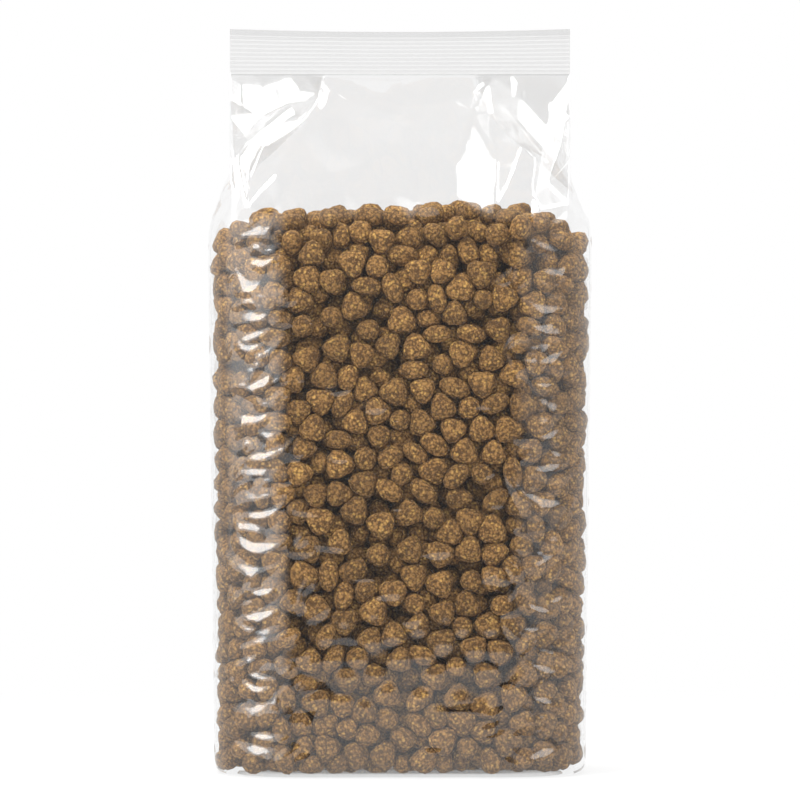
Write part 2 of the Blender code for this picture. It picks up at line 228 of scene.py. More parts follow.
def measures():
    """The sizes that follow from the bag's own."""
    b, k = bag(), kibble()
    half_panel, half_gusset = b.panel_width / 2, b.gusset_width / 2
    return {
        "half_panel": half_panel,
        "quarter": half_panel + half_gusset,
        "arc": math.pi / 2 * b.corner,
        "seal_base": b.height - b.seal_height,
        "layers": 1.5 * b.fold_gap,
        "reach": half_gusset - 1.5 * b.fold_gap,
        "shoulder": k.fill_at_sides - k.thickness,
    }


def body_halves(z):
    """Half the width and half the depth of the filled body at height z."""
    b, m = bag(), measures()
    half_depth = b.depth / 2 - b.spread * (np.minimum(z, m["shoulder"]) / m["shoulder"] - 0.5)
    return m["quarter"] + 2 * b.corner - m["arc"] - half_depth, half_depth


def film_points(s, side_x, side_y, z, inset):
    """Points of the film at arc length s from a panel's middle and at height z, on the given sides."""
    b, m = bag(), measures()
    half_width, half_depth = body_halves(z)
    flat = half_width - b.corner
    angle = np.clip((s - flat) / b.corner, 0, math.pi / 2)
    radius = b.corner - inset
    full_x = np.where(s <= flat, s, flat + radius * np.sin(angle))
    full_y = half_depth - b.corner + radius * np.cos(angle)
    beyond = s >= flat + m["arc"]
    full_x = np.where(beyond, half_width - inset, full_x)
    full_y = np.where(beyond, half_depth - b.corner - (s - flat - m["arc"]), full_y)
    fold = smooth_step((z - m["shoulder"]) / (m["seal_base"] - m["shoulder"]))
    half = m["layers"] + (half_depth - m["layers"]) * (1 - fold)
    across = np.minimum(half - m["layers"], m["reach"])
    along = np.sqrt(m["reach"] ** 2 - across**2)
    share = (s - m["half_panel"] - b.fold_gap) / m["reach"]
    in_panel = s <= m["half_panel"] + b.fold_gap
    folded_x = np.where(in_panel, np.minimum(s, m["half_panel"]), m["half_panel"] - along * share)
    panel_y = half - np.clip(s - m["half_panel"], 0, b.fold_gap)
    folded_y = np.where(in_panel, panel_y, half - b.fold_gap - across * share)
    x = full_x + (folded_x - full_x) * fold
    y = full_y + (folded_y - full_y) * fold
    return np.stack([side_x * x, side_y * y, z + 0 * x], axis=-1)


def stations():
    """Arc lengths of one quarter's columns, closer together round the creased corner."""
    b, m = bag(), measures()
    fine = b.crease_middle - 20 * MM, b.crease_middle + 22 * MM
    fold, last = m["half_panel"], m["quarter"] - b.fold_gap / 2
    spans = ((0, fine[0], 24), (fine[0], fold, 42), (fold + b.fold_gap, fine[1], 11), (fine[1], last, 23))
    parts = [np.linspace(start, stop, steps, endpoint=False) for start, stop, steps in spans]
    parts.insert(2, [fold])
    parts.append([last])
    return np.concatenate(parts)


def film_rows():
    """Height and inset of each of the film's rows, from the hollow of the base to the inside of the seal."""
    b, m = bag(), measures()
    inner = b.base_edge + b.base_rim
    rows = [(b.base_hollow, inner + b.base_hollow), (0, inner)]
    for angle in np.linspace(0, math.pi / 2, 7):
        rows.append((b.base_edge * (1 - math.cos(angle)), b.base_edge * (1 - math.sin(angle))))
    for start, end, steps in ((b.base_edge, m["shoulder"], 168), (m["shoulder"], m["seal_base"], 58)):
        rows += [(z, 0) for z in np.linspace(start, end, steps + 1)[1:]]
    rows.append((m["seal_base"] + 0.3 * MM, 0))
    return np.array(rows)


# The kibble


def heap_height(x, y):
    """Height of the kibble's top, higher in the middle than at the sides."""
    k = kibble()
    half_width, half_depth = body_halves(k.fill_at_sides)
    return k.fill_at_sides + k.heap_rise * (1 - (x / half_width) ** 2) * (1 - 0.25 * (y / half_depth) ** 2)


def ball_forms():
    """Each form of kibble as three balls, for packing: their offsets, in kibble widths, and radii."""
    turn = np.arange(3) * 2 * math.pi / 3
    three = np.stack([0.2 * np.cos(turn), 0.2 * np.sin(turn), 0 * turn], axis=-1)
    oval = np.array([(0, -0.18, 0), (0, 0.18, 0), (0, 0, 0)])
    offsets = np.stack([three, oval, np.zeros((3, 3))])
    return offsets, np.array([0.32, 0.33, 0.37])


def turn_vectors(q, v):
    """Vectors v turned by quaternions q, both arrays."""
    w, xyz = q[:, :1], q[:, 1:]
    t = 2 * np.cross(xyz, v)
    return v + w * t + np.cross(xyz, t)


def turn_more(q, angles):
    """Quaternions q turned further by small angle vectors."""
    w, xyz = q[:, :1], q[:, 1:]
    half = angles / 2
    real = w - np.sum(half * xyz, axis=1, keepdims=True)
    out = np.concatenate([real, xyz + w * half + np.cross(half, xyz)], axis=1)
    return out / np.linalg.norm(out, axis=1, keepdims=True)


def near_pairs(points, owner, reach):
    """Pairs of points nearer than reach that don't belong to the same kibble."""
    cell = np.floor((points - points.min(0)) / reach).astype(np.int64) + 1
    shape = cell.max(0) + 2
    key = (cell[:, 0] * shape[1] + cell[:, 1]) * shape[2] + cell[:, 2]
    order = np.argsort(key, kind="stable")
    ordered = key[order]
    firsts, seconds = [], []
    around = [(i, j, k) for i in (-1, 0, 1) for j in (-1, 0, 1) for k in (-1, 0, 1)]
    for step in around[13:]:
        other = ordered + (step[0] * shape[1] + step[1]) * shape[2] + step[2]
        start, end = np.searchsorted(ordered, other, "left"), np.searchsorted(ordered, other, "right")
        if step == (0, 0, 0):
            start = np.arange(len(ordered)) + 1
        count = np.maximum(end - start, 0)
        first = np.repeat(np.arange(len(ordered)), count)
        offset = np.arange(len(first)) - np.repeat(np.cumsum(count) - count, count)
        firsts.append(order[first])
        seconds.append(order[np.repeat(start, count) + offset])
    a, b = np.concatenate(firsts), np.concatenate(seconds)
    keep = (owner[a] != owner[b]) & (np.sum((points[a] - points[b]) ** 2, axis=1) < reach**2)
    return a[keep], b[keep]


def add_up(values, owner, count):
    """Sums the rows of values for each owner."""
    return np.stack([np.bincount(owner, values[:, i], count) for i in range(3)], axis=-1)


def wall_push(points, radii, room):
    """How far and which way each ball has to move to be clear of the film's walls and base by room."""
    b = bag()
    half_width, half_depth = body_halves(points[:, 2])
    corner = b.corner - room
    q = np.abs(points[:, :2]) - np.stack([half_width, half_depth], axis=-1) + room[:, None] + corner[:, None]
    out = np.maximum(q, 0)
    dist = np.linalg.norm(out, axis=1)
    inside = np.minimum(np.max(q, axis=1), 0)
    depth = dist + inside - corner + radii
    flat = np.where(q[:, :1] > q[:, 1:], np.array([[1.0, 0.0]]), np.array([[0.0, 1.0]]))
    normal = np.where(dist[:, None] > 1e-9, out / np.maximum(dist, 1e-9)[:, None], flat)
    normal = normal * np.sign(points[:, :2])
    push = np.zeros_like(points)
    push[:, :2] = -normal * np.maximum(depth, 0)[:, None]
    floor = b.base_hollow + 1.0 * MM
    push[:, 2] = np.maximum(floor + radii - points[:, 2], 0)
    return push


def turns_to(directions, rng, tilt):
    """Quaternions that turn the upright axis to directions, spun at random and tilted a little."""
    count = len(directions)
    out = []
    spins = rng.uniform(0, 2 * math.pi, count)
    for way, spin, lean in zip(directions, spins, rng.normal(0, tilt, (count, 3))):
        turn = (Vector(way) + Vector(lean)).to_track_quat("Z", "Y") @ Quaternion((0, 0, 1), spin)
        out.append(tuple(turn))
    return np.array(out).reshape(-1, 4)


def wall_kibbles(rng):
    """Places and turns of kibbles that lie flat against the film where the part's own fill has its bumps."""
    b, m, k = bag(), measures(), kibble()
    peaks = np.unique(np.round(node_points("kibble_fill"), 5), axis=0)
    u, depth = round_the_bag(peaks)
    by_film = (depth < 2.4 * MM) & (peaks[:, 2] > b.base_edge) & (peaks[:, 2] < m["shoulder"])
    u, depth, z = u[by_film], depth[by_film], peaks[by_film, 2]
    quarter, s = np.divmod(u, m["quarter"])
    s = np.where(quarter % 2 == 1, m["quarter"] - s, s)
    side_x, side_y = np.where(quarter < 2, 1, -1), np.where((quarter == 0) | (quarter == 3), -1, 1)
    outer = film_points(s, side_x, side_y, z, 0)
    flat = body_halves(z)[0] - b.corner
    angle = np.clip((s - flat) / b.corner, 0, math.pi / 2)
    out = np.stack([side_x * np.sin(angle), side_y * np.cos(angle), 0 * z], axis=-1)
    room = depth + 0.42 * k.thickness + k.side_room * np.sin(angle) ** 4
    places = outer - out * room[:, None]
    return places, turns_to(out, rng, 0.22)


def node_points(name):
    """A node's points where it stands."""
    solid = frame["nodes"][name]
    points = np.empty(len(solid.data.vertices) * 3)
    solid.data.vertices.foreach_get("co", points)
    return points.reshape(-1, 3)


def loose_kibbles():
    """Places, turns and forms of the part's loose kibbles."""
    places, turns, forms = [], [], []
    for name in KIBBLE_NODES:
        if name == "kibble_fill":
            continue
        points = np.unique(np.round(node_points(name), 6), axis=0)
        middle = (points.max(0) + points.min(0)) / 2
        axes = np.linalg.svd(points - points.mean(0), full_matrices=False)[2]
        spans = np.ptp((points - middle) @ axes.T, axis=0)
        turn = Matrix((axes[1], axes[0], np.cross(axes[1], axes[0]))).transposed().to_quaternion()
        places.append(middle)
        turns.append(tuple(turn))
        forms.append(2 if spans[0] < 10.6 * MM else 1 if spans[1] < 10.4 * MM else 0)
    return np.array(places), np.array(turns), np.array(forms)


# How the kibbles are packed: how often they push each other apart, the share of each push that they follow,
# how far they turn at most in a push, in radians, and how far they sink in it
PUSHES = 260
EASE = 0.45
MOST_TURN = 0.2
SINK = 0.01 * MM


def pour_kibbles():
    """Packs the kibbles in the bag without overlaps: their places, turns, forms and sizes. Those that the
    part's own solids show keep their places, and the others fill the room behind and below them."""
    b, k = bag(), kibble()
    rng = np.random.default_rng(k.seed)
    wall, wall_turns = wall_kibbles(rng)
    loose, loose_turns, loose_forms = loose_kibbles()
    half_width, half_depth = body_halves(k.fill_at_sides / 2)
    height = k.fill_at_sides + k.heap_rise * 0.5
    pitch = (4 * half_width * half_depth * height / k.number) ** (1 / 3)
    axes = [np.arange(-h + pitch / 2, h, pitch) for h in (half_width, half_depth)]
    axes.append(np.arange(pitch / 2, height + pitch, pitch))
    inner = np.stack(np.meshgrid(*axes, indexing="ij"), axis=-1).reshape(-1, 3)
    inner += rng.uniform(-0.35, 0.35, inner.shape) * pitch
    room = 0.42 * k.thickness + 0.62 * pitch
    keep = (round_the_bag(inner)[1] > room) & (inner[:, 2] < heap_height(inner[:, 0], inner[:, 1]))
    keep |= (inner[:, 2] < b.base_edge + 2 * MM) & (round_the_bag(inner)[1] > 4 * MM)
    inner = inner[keep]
    inner_turns = rng.normal(size=(len(inner), 4))
    inner_turns /= np.linalg.norm(inner_turns, axis=1, keepdims=True)
    places = np.concatenate([loose, wall, inner])
    turns = np.concatenate([loose_turns, wall_turns, inner_turns])
    count = len(places)
    free = (np.arange(count) >= len(loose)).astype(float)[:, None]
    hold = np.where(np.arange(count) < len(loose) + len(wall), 0.06, 0.0)[:, None]
    start = places.copy()
    form = rng.choice(3, count, p=(0.68, 0.22, 0.1))
    form[: len(loose)] = loose_forms
    size = rng.uniform(0.92, 1.07, count)
    offsets, ball = ball_forms()
    offsets = offsets[form] * (size * k.width)[:, None, None]
    radii = np.repeat(ball[form] * size * k.width, 3)
    owner = np.repeat(np.arange(count), 3)
    lift = rng.uniform(-3.5, 1.5, count) * MM
    room = np.repeat(rng.uniform(0.4, 1.0, count), 3) * MM
    stiffness = 0.12 / (k.width * 0.4) ** 2 * 2.5
    for step in range(PUSHES):
        levers = turn_vectors(np.repeat(turns, 3, axis=0), offsets.reshape(-1, 3))
        balls = np.repeat(places, 3, axis=0) + levers
        if step % 5 == 0:
            first, second = near_pairs(balls, owner, 0.8 * k.width * 1.07)
        apart = balls[first] - balls[second]
        dist = np.linalg.norm(apart, axis=1)
        overlap = radii[first] + radii[second] - dist
        hit = overlap > 0
        a, b2, n = first[hit], second[hit], apart[hit] / np.maximum(dist[hit], 1e-9)[:, None]
        lever_a, lever_b = levers[a] - n * radii[a, None], levers[b2] + n * radii[b2, None]
        twist_a, twist_b = np.cross(lever_a, n), np.cross(lever_b, n)
        weight = 2 + stiffness * (np.sum(twist_a**2, axis=1) + np.sum(twist_b**2, axis=1))
        share = (overlap[hit] / weight)[:, None]
        move = add_up(n * share, owner[a], count) - add_up(n * share, owner[b2], count)
        twist = add_up(twist_a * share, owner[a], count) - add_up(twist_b * share, owner[b2], count)
        twist *= stiffness
        push = wall_push(balls, radii, room)
        wall = np.linalg.norm(push, axis=1)
        touching = wall > 0
        n = push[touching] / wall[touching, None]
        lever = levers[touching] - n * radii[touching, None]
        turned = np.cross(lever, n)
        share = (wall[touching] / (1 + stiffness * np.sum(turned**2, axis=1)))[:, None]
        move += add_up(n * share, owner[touching], count)
        twist += stiffness * add_up(turned * share, owner[touching], count)
        over = places[:, 2] - heap_height(places[:, 0], places[:, 1]) - lift
        move[:, 2] -= np.maximum(over, 0)
        move[:, 2] -= SINK
        places += (EASE * move + hold * (start - places)) * free
        turns = turn_more(turns, np.clip(EASE * twist, -MOST_TURN, MOST_TURN) * free)
    return places, turns, form, size, rng.uniform(0, 1, count)


def kibble_form(name, number, segments, rings):
    """A kibble's shape, one of three: a three-cornered pillow, an oval one and a small round one."""
    k = kibble()
    rng = np.random.default_rng(number)
    bm = bmesh.new()
    bmesh.ops.create_uvsphere(bm, u_segments=segments, v_segments=rings, radius=1)
    lobes, wide, long, thick = (
        (0.13, 0.48, 0.48, 0.52),
        (0.0, 0.5 * 0.7, 0.54, 0.5 * 1.04),
        (0.04, 0.4, 0.4, 0.5 * 1.1),
    )[number % 3]
    phase = rng.uniform(0, 2 * math.pi)
    for vert in bm.verts:
        x, y, z = vert.co
        across = math.hypot(x, y)
        angle = math.atan2(y, x)
        fuller = across**0.72 / across if across > 1e-6 else 0
        reach = fuller * (1 + lobes * math.cos(3 * angle) + 0.03 * math.cos(2 * angle + phase))
        height = math.copysign(abs(z) ** 0.85, z) * thick * k.thickness
        vert.co = (x * reach * wide * k.width, y * reach * long * k.width, height)
    mesh = bpy.data.meshes.new(name)
    bm.to_mesh(mesh)
    bm.free()
    return bpy.data.objects.new(name, mesh)


def new_tree(name, inputs):
    """A geometry node tree that takes and gives geometry, with more inputs by name and kind."""
    tree = bpy.data.node_groups.new(name, "GeometryNodeTree")
    for socket, kind in {"Geometry": "Geometry", **inputs}.items():
        tree.interface.new_socket(socket, in_out="INPUT", socket_type="NodeSocket" + kind)
    tree.interface.new_socket("Geometry", in_out="OUTPUT", socket_type="NodeSocketGeometry")
    return tree, node(tree, "NodeGroupInput").outputs


def kibble_tree():
    """Geometry nodes that set a kibble's form on every point, turned and sized, and make each one lumpy."""
    inputs = {"Forms": "Collection", "Lump Depth": "Float", "Lump Pitch": "Float", "Material": "Material"}
    tree, start = new_tree("Poured kibble", inputs)
    turn = node(tree, "GeometryNodeInputNamedAttribute", {"Name": "turn"}, data_type="QUATERNION")
    form = node(tree, "GeometryNodeInputNamedAttribute", {"Name": "form"}, data_type="INT")
    size = node(tree, "GeometryNodeInputNamedAttribute", {"Name": "size"}, data_type="FLOAT")
    forms = node(
        tree,
        "GeometryNodeCollectionInfo",
        {"Collection": start["Forms"], "Separate Children": True, "Reset Children": True},
    )
    placed = node(
        tree,
        "GeometryNodeInstanceOnPoints",
        {
            "Points": start["Geometry"],
            "Instance": forms.outputs["Instances"],
            "Pick Instance": True,
            "Instance Index": form.outputs["Attribute"],
            "Rotation": turn.outputs["Attribute"],
            "Scale": size.outputs["Attribute"],
        },
    )
    solid = node(tree, "GeometryNodeRealizeInstances", {"Geometry": placed.outputs["Instances"]})
    pitch = maths(tree, "DIVIDE", 1.0, start["Lump Pitch"])
    lump = node(tree, "ShaderNodeTexNoise", {"Scale": pitch, "Detail": 1.0}, noise_dimensions="3D")
    depth = maths(tree, "MULTIPLY", maths(tree, "SUBTRACT", lump.outputs[0], 0.5), start["Lump Depth"])
    normal = node(tree, "GeometryNodeInputNormal")
    along = node(
        tree,
        "ShaderNodeVectorMath",
        {0: normal.outputs["Normal"], "Scale": depth},
        operation="SCALE",
    )
    rough = node(
        tree, "GeometryNodeSetPosition", {"Geometry": solid.outputs["Geometry"], "Offset": along.outputs[0]}
    )
    soft = node(tree, "GeometryNodeSetShadeSmooth", {"Geometry": rough.outputs["Geometry"]})
    finish = node(
        tree,
        "GeometryNodeSetMaterial",
        {"Geometry": soft.outputs["Geometry"], "Material": start["Material"]},
    )
    node(tree, "NodeGroupOutput", {"Geometry": finish.outputs["Geometry"]})
    return tree


def through_tree(made, tree, values):
    """Runs a node tree over an object with the named inputs set, and leaves its result as a plain mesh."""
    modifier = made.modifiers.new("nodes", "NODES")
    modifier.node_group = tree
    for item in tree.interface.items_tree:
        if item.in_out == "INPUT" and item.name in values:
            modifier[item.identifier] = values[item.name]
    bpy.context.view_layer.update()
    graph = bpy.context.evaluated_depsgraph_get()
    mesh = bpy.data.meshes.new_from_object(made.evaluated_get(graph), depsgraph=graph)
    made.modifiers.remove(modifier)
    made.data = mesh
    mesh.name = made.name
    return made


def kibble_material():
    """Baked kibble: extruded meal, dried hard. It is dull and porous, browned unevenly, with pale grain
    crumbs and dark pits about half a millimetre wide."""
    k = kibble()
    material, tree = new_material("baked_kibble")
    place = node(tree, "ShaderNodeTexCoord").outputs["Object"]
    tone = node(tree, "ShaderNodeAttribute", attribute_name="tone").outputs["Fac"]
    bend = node(tree, "ShaderNodeTexNoise", {"Vector": place, "Scale": 1 / (1.6 * MM), "Detail": 2.0})
    bent = node(
        tree,
        "ShaderNodeVectorMath",
        {0: bend.outputs["Color"], 1: (1.6 * MM,) * 3, 2: place},
        operation="MULTIPLY_ADD",
    )
    grain = node(
        tree, "ShaderNodeTexVoronoi", {"Vector": bent.outputs[0], "Scale": 1 / (1.25 * MM)}, feature="F1"
    )
    each = node(tree, "ShaderNodeSeparateColor", {0: grain.outputs["Color"]})
    fine = node(
        tree,
        "ShaderNodeTexNoise",
        {"Vector": place, "Scale": 1 / (0.8 * MM), "Detail": 3.0, "Roughness": 0.7},
    )
    patch = node(tree, "ShaderNodeTexNoise", {"Vector": place, "Scale": 1 / (4 * MM), "Detail": 1.0})
    middle = mapped(tree, grain.outputs["Distance"], 0, 0.75, 1, 0)
    mixed, total = None, fine.outputs["Fac"]
    for part, weight in ((middle, 0.75), (each.outputs[0], 0.35), (patch.outputs["Fac"], 0.5)):
        total = maths(tree, "MULTIPLY_ADD", part, weight, total)
        mixed = mixed or total
    brown = mixed_colours(tree, mapped(tree, total, 0.95, 1.5), (*k.crust, 1), (*k.meal, 1))
    flecks = maths(tree, "MULTIPLY", mapped(tree, each.outputs[1], 0.78, 0.9), middle)
    speckled = mixed_colours(tree, flecks, brown, (*k.crumb, 1))
    shade = mapped(tree, tone, 0, 1, 0.82, 1.15)
    toned = node(tree, "ShaderNodeVectorMath", {0: speckled, "Scale": shade}, operation="SCALE")
    bump = node(tree, "ShaderNodeBump", {"Strength": 1.0, "Distance": 0.6 * MM, "Height": mixed})
    shader = node(
        tree,
        "ShaderNodeBsdfPrincipled",
        {
            "Base Color": toned.outputs[0],
            "Roughness": 0.8,
            "Specular IOR Level": 0.35,
            "Normal": bump.outputs[0],
        },
    )
    node(tree, "ShaderNodeOutputMaterial", {"Surface": shader.outputs[0]})
    return material


def film_material(name, haze, mirror, layers):
    """Clear polypropylene film, cast and stretched: bright mirror glints from every crease, see-through where
    it faces the eye, and paler towards its edges, with a very faint milkiness."""
    finish = bpy.context.scene.film_finish
    material, tree = new_material(name)
    facing = node(tree, "ShaderNodeLayerWeight", {"Blend": 0.5}).outputs["Facing"]
    gloss = mapped(tree, maths(tree, "POWER", facing, 5.0), 0, 1, mirror, 1)
    tint = [channel**layers for channel in finish.tint]
    clear = node(tree, "ShaderNodeBsdfTransparent", {"Color": (*tint, 1)})
    milk = node(tree, "ShaderNodeBsdfDiffuse", {"Color": (*finish.haze, 1)})
    shine = node(tree, "ShaderNodeBsdfGlossy", {"Color": (1, 1, 1, 1), "Roughness": 0.04})
    body = node(tree, "ShaderNodeMixShader", {0: haze, 1: clear.outputs[0], 2: milk.outputs[0]})
    film = node(tree, "ShaderNodeMixShader", {0: gloss, 1: body.outputs[0], 2: shine.outputs[0]})
    node(tree, "ShaderNodeOutputMaterial", {"Surface": film.outputs[0]})
    return material


# How deep inside the heap a kibble is part of its middle, and how near the front or back it is part of that
MIDDLE_DEPTH = 26 * MM
FACE_DEPTH = 24 * MM


class BAG_OT_kibble(bpy.types.Operator):
    """Pours the kibble and makes it in pieces, by where it lies in the bag"""

    bl_idname = "bag.kibble"
    bl_label = "Kibble"

    def execute(self, context):
        k = kibble()
        places, turns, form, size, tone = pour_kibbles()
        material = kibble_material()
        tree = kibble_tree()
        half_width, half_depth = body_halves(places[:, 2])
        room = np.minimum(half_width - np.abs(places[:, 0]), half_depth - np.abs(places[:, 1]))
        room = np.minimum(room, heap_height(places[:, 0], places[:, 1]) - places[:, 2])
        inner = room > MIDDLE_DEPTH
        parts = {
            "kibble_front": ~inner & (places[:, 1] < -half_depth + FACE_DEPTH),
            "kibble_back": ~inner & (places[:, 1] > half_depth - FACE_DEPTH),
        }
        rest = ~inner & ~parts["kibble_front"] & ~parts["kibble_back"]
        parts["kibble_left"] = rest & (places[:, 0] < 0)
        parts["kibble_right"] = rest & (places[:, 0] >= 0)
        parts["kibble_middle"] = inner
        for name, chosen in parts.items():
            fine = (8, 5) if name == "kibble_middle" else (12, 6)
            forms = bpy.data.collections.new("forms")
            for number in range(3):
                forms.objects.link(kibble_form(f"form_{number}", number, *fine))
            made = mesh_object(name, places[chosen].tolist(), [])
            columns = {
                "turn": ("QUATERNION", turns[chosen]),
                "form": ("INT", form[chosen]),
                "size": ("FLOAT", size[chosen]),
                "tone": ("FLOAT", tone[chosen]),
            }
            for column, (kind, values) in columns.items():
                attribute = made.data.attributes.new(column, kind, "POINT")
                attribute.data.foreach_set("value", np.ascontiguousarray(values).ravel())
            values = {"Forms": forms, "Lump Depth": k.lumps, "Lump Pitch": k.lump_pitch, "Material": material}
            through_tree(made, tree, values)
            for item in list(forms.objects):
                bpy.data.objects.remove(item)
            bpy.data.collections.remove(forms)
            nodes = KIBBLE_NODES if name == "kibble_front" else ()
            settle(made, "kibble", *nodes)
        return {"FINISHED"}


class BAG_OT_film(bpy.types.Operator):
    """Makes the film bag round the kibble"""

    bl_idname = "bag.film"
    bl_label = "Film"

    def execute(self, context):
        b, m = bag(), measures()
        s = stations()
        q = m["quarter"]
        back = s[:0:-1]
        along = np.concatenate([s, back, s, back])
        side_x = np.concatenate([np.ones(len(s) + len(back)), -np.ones(len(s) + len(back))])
        side_y = np.concatenate([-np.ones(len(s)), np.ones(len(back) + len(s)), -np.ones(len(back))])
        u = np.concatenate([s, 2 * q - back, 2 * q + s, 4 * q - back])
        rows = film_rows()
        z, inset = rows[:, :1], rows[:, 1:]
        points = film_points(along[None], side_x[None], side_y[None], z + 0 * along[None], inset)
        points = film_relief(points, u, z, wall_kibbles(np.random.default_rng(0))[0])
        made = film_mesh(points)
        made.data.materials.append(film_material("clear_film", 0.012, 0.08, 1))
        settle(made, "clear_film", "bag_film")
        return {"FINISHED"}


def round_the_bag(places):
    """Where places lie by the film: their arc length round the bag and how deep they are inside it."""
    b, m = bag(), measures()
    half_width, half_depth = body_halves(places[:, 2])
    flat = half_width - b.corner
    qx, qy = np.abs(places[:, 0]) - flat, np.abs(places[:, 1]) - half_depth + b.corner
    corner = (qx > 0) & (qy > 0)
    side = flat + m["arc"] + half_depth - b.corner - np.abs(places[:, 1])
    s = np.where(qx > qy, side, np.abs(places[:, 0]))
    s = np.where(corner, flat + b.corner * np.arctan2(qx, qy), s)
    depth = b.corner - np.where(corner, np.hypot(qx, qy), np.maximum(qx, qy))
    right, front = places[:, 0] >= 0, places[:, 1] < 0
    q = m["quarter"]
    u = np.where(right, np.where(front, s, 2 * q - s), np.where(front, 4 * q - s, 2 * q + s))
    return u % (4 * q), depth


def add_bump(height, u, z, spot, reach, shape):
    """Adds shape(along, up) to the height field near a spot, across the join too."""
    whole = 4 * measures()["quarter"]
    away = (u - spot[0] + whole / 2) % whole - whole / 2
    columns = np.nonzero(np.abs(away) < reach)[0]
    rows = np.nonzero(np.abs(z - spot[1]) < reach)[0]
    if len(columns) and len(rows):
        grid = np.ix_(rows, columns)
        height[grid] += shape(away[columns][None], (z[rows] - spot[1])[:, None])


def crease(rng, half_length, rise, turn, smile):
    """A small sharp crease: a bent ridge with a steep and a gentle side, pointed at both ends."""
    turn = rng.normal(turn, 0.22)
    bend = rng.normal(smile, 0.2) / half_length
    steep = half_length * rng.uniform(0.18, 0.3)
    gentle = half_length * rng.uniform(0.32, 0.55)
    above, below = (steep, gentle) if rng.random() < 0.75 else (gentle, steep)

    def shape(along, up):
        t = along * math.cos(turn) + up * math.sin(turn)
        d = up * math.cos(turn) - along * math.sin(turn) - bend * t * t
        return rise * np.maximum(0, 1 - np.maximum(d / above, -d / below) - (t / half_length) ** 2)

    return shape


RELIEF_SEED = 5


def body_relief(u, z, places):
    """How far the film stands off over the fill: pressed out by the kibbles, and creased where it turns
    round the upright corners."""
    b, m, k = bag(), measures(), kibble()
    rng = np.random.default_rng(RELIEF_SEED)
    height = np.zeros((len(z), len(u)))
    around, depth = round_the_bag(places)
    near = (depth < 0.62 * k.width) & (places[:, 2] < m["shoulder"] + 4 * MM)
    for spot in zip(around[near], places[near, 2]):
        add_bump(height, u, z, spot, 11 * MM, lambda a, v: 0.07 * MM * np.exp(-(a**2 + v**2) / (4 * MM) ** 2))
    whole, at_corner = 4 * m["quarter"], b.crease_middle
    corners = (
        (at_corner, -0.12, 0.75),
        (whole / 2 - at_corner, 0.12, 0.9),
        (whole / 2 + at_corner, -0.12, 0.9),
        (whole - at_corner, 0.12, 1.0),
    )
    for middle, turn, strength in corners:
        for step in np.arange(5, 240, 6.5):
            spot = ((middle + rng.normal(0, 5) * MM) % whole, (step + rng.uniform(-3, 3)) * MM)
            size = rng.uniform(7, 17) * MM
            rise = strength * b.crease_depth * rng.uniform(0.4, 1.0)
            way = turn * rng.choice([-2.5, 1, 1, 3])
            add_bump(height, u, z, spot, 1.6 * size, crease(rng, size, rise, way, 0.3))
        for _ in range(110):
            spot = ((middle + rng.normal(0, 14) * MM) % whole, rng.uniform(4, 242) * MM)
            size = rng.uniform(3, 7) * MM
            rise = strength * b.crease_depth * rng.uniform(0.2, 0.55)
            add_bump(height, u, z, spot, 1.6 * size, crease(rng, size, rise, rng.choice([turn, 0.7]), 0.1))
    for _ in range(130):
        spot = (rng.uniform(0, whole), rng.uniform(8, 240) * MM)
        size = rng.uniform(5, 12) * MM
        add_bump(height, u, z, spot, 1.6 * size, crease(rng, size, b.crease_depth * 0.16, 0, 0))
    return height


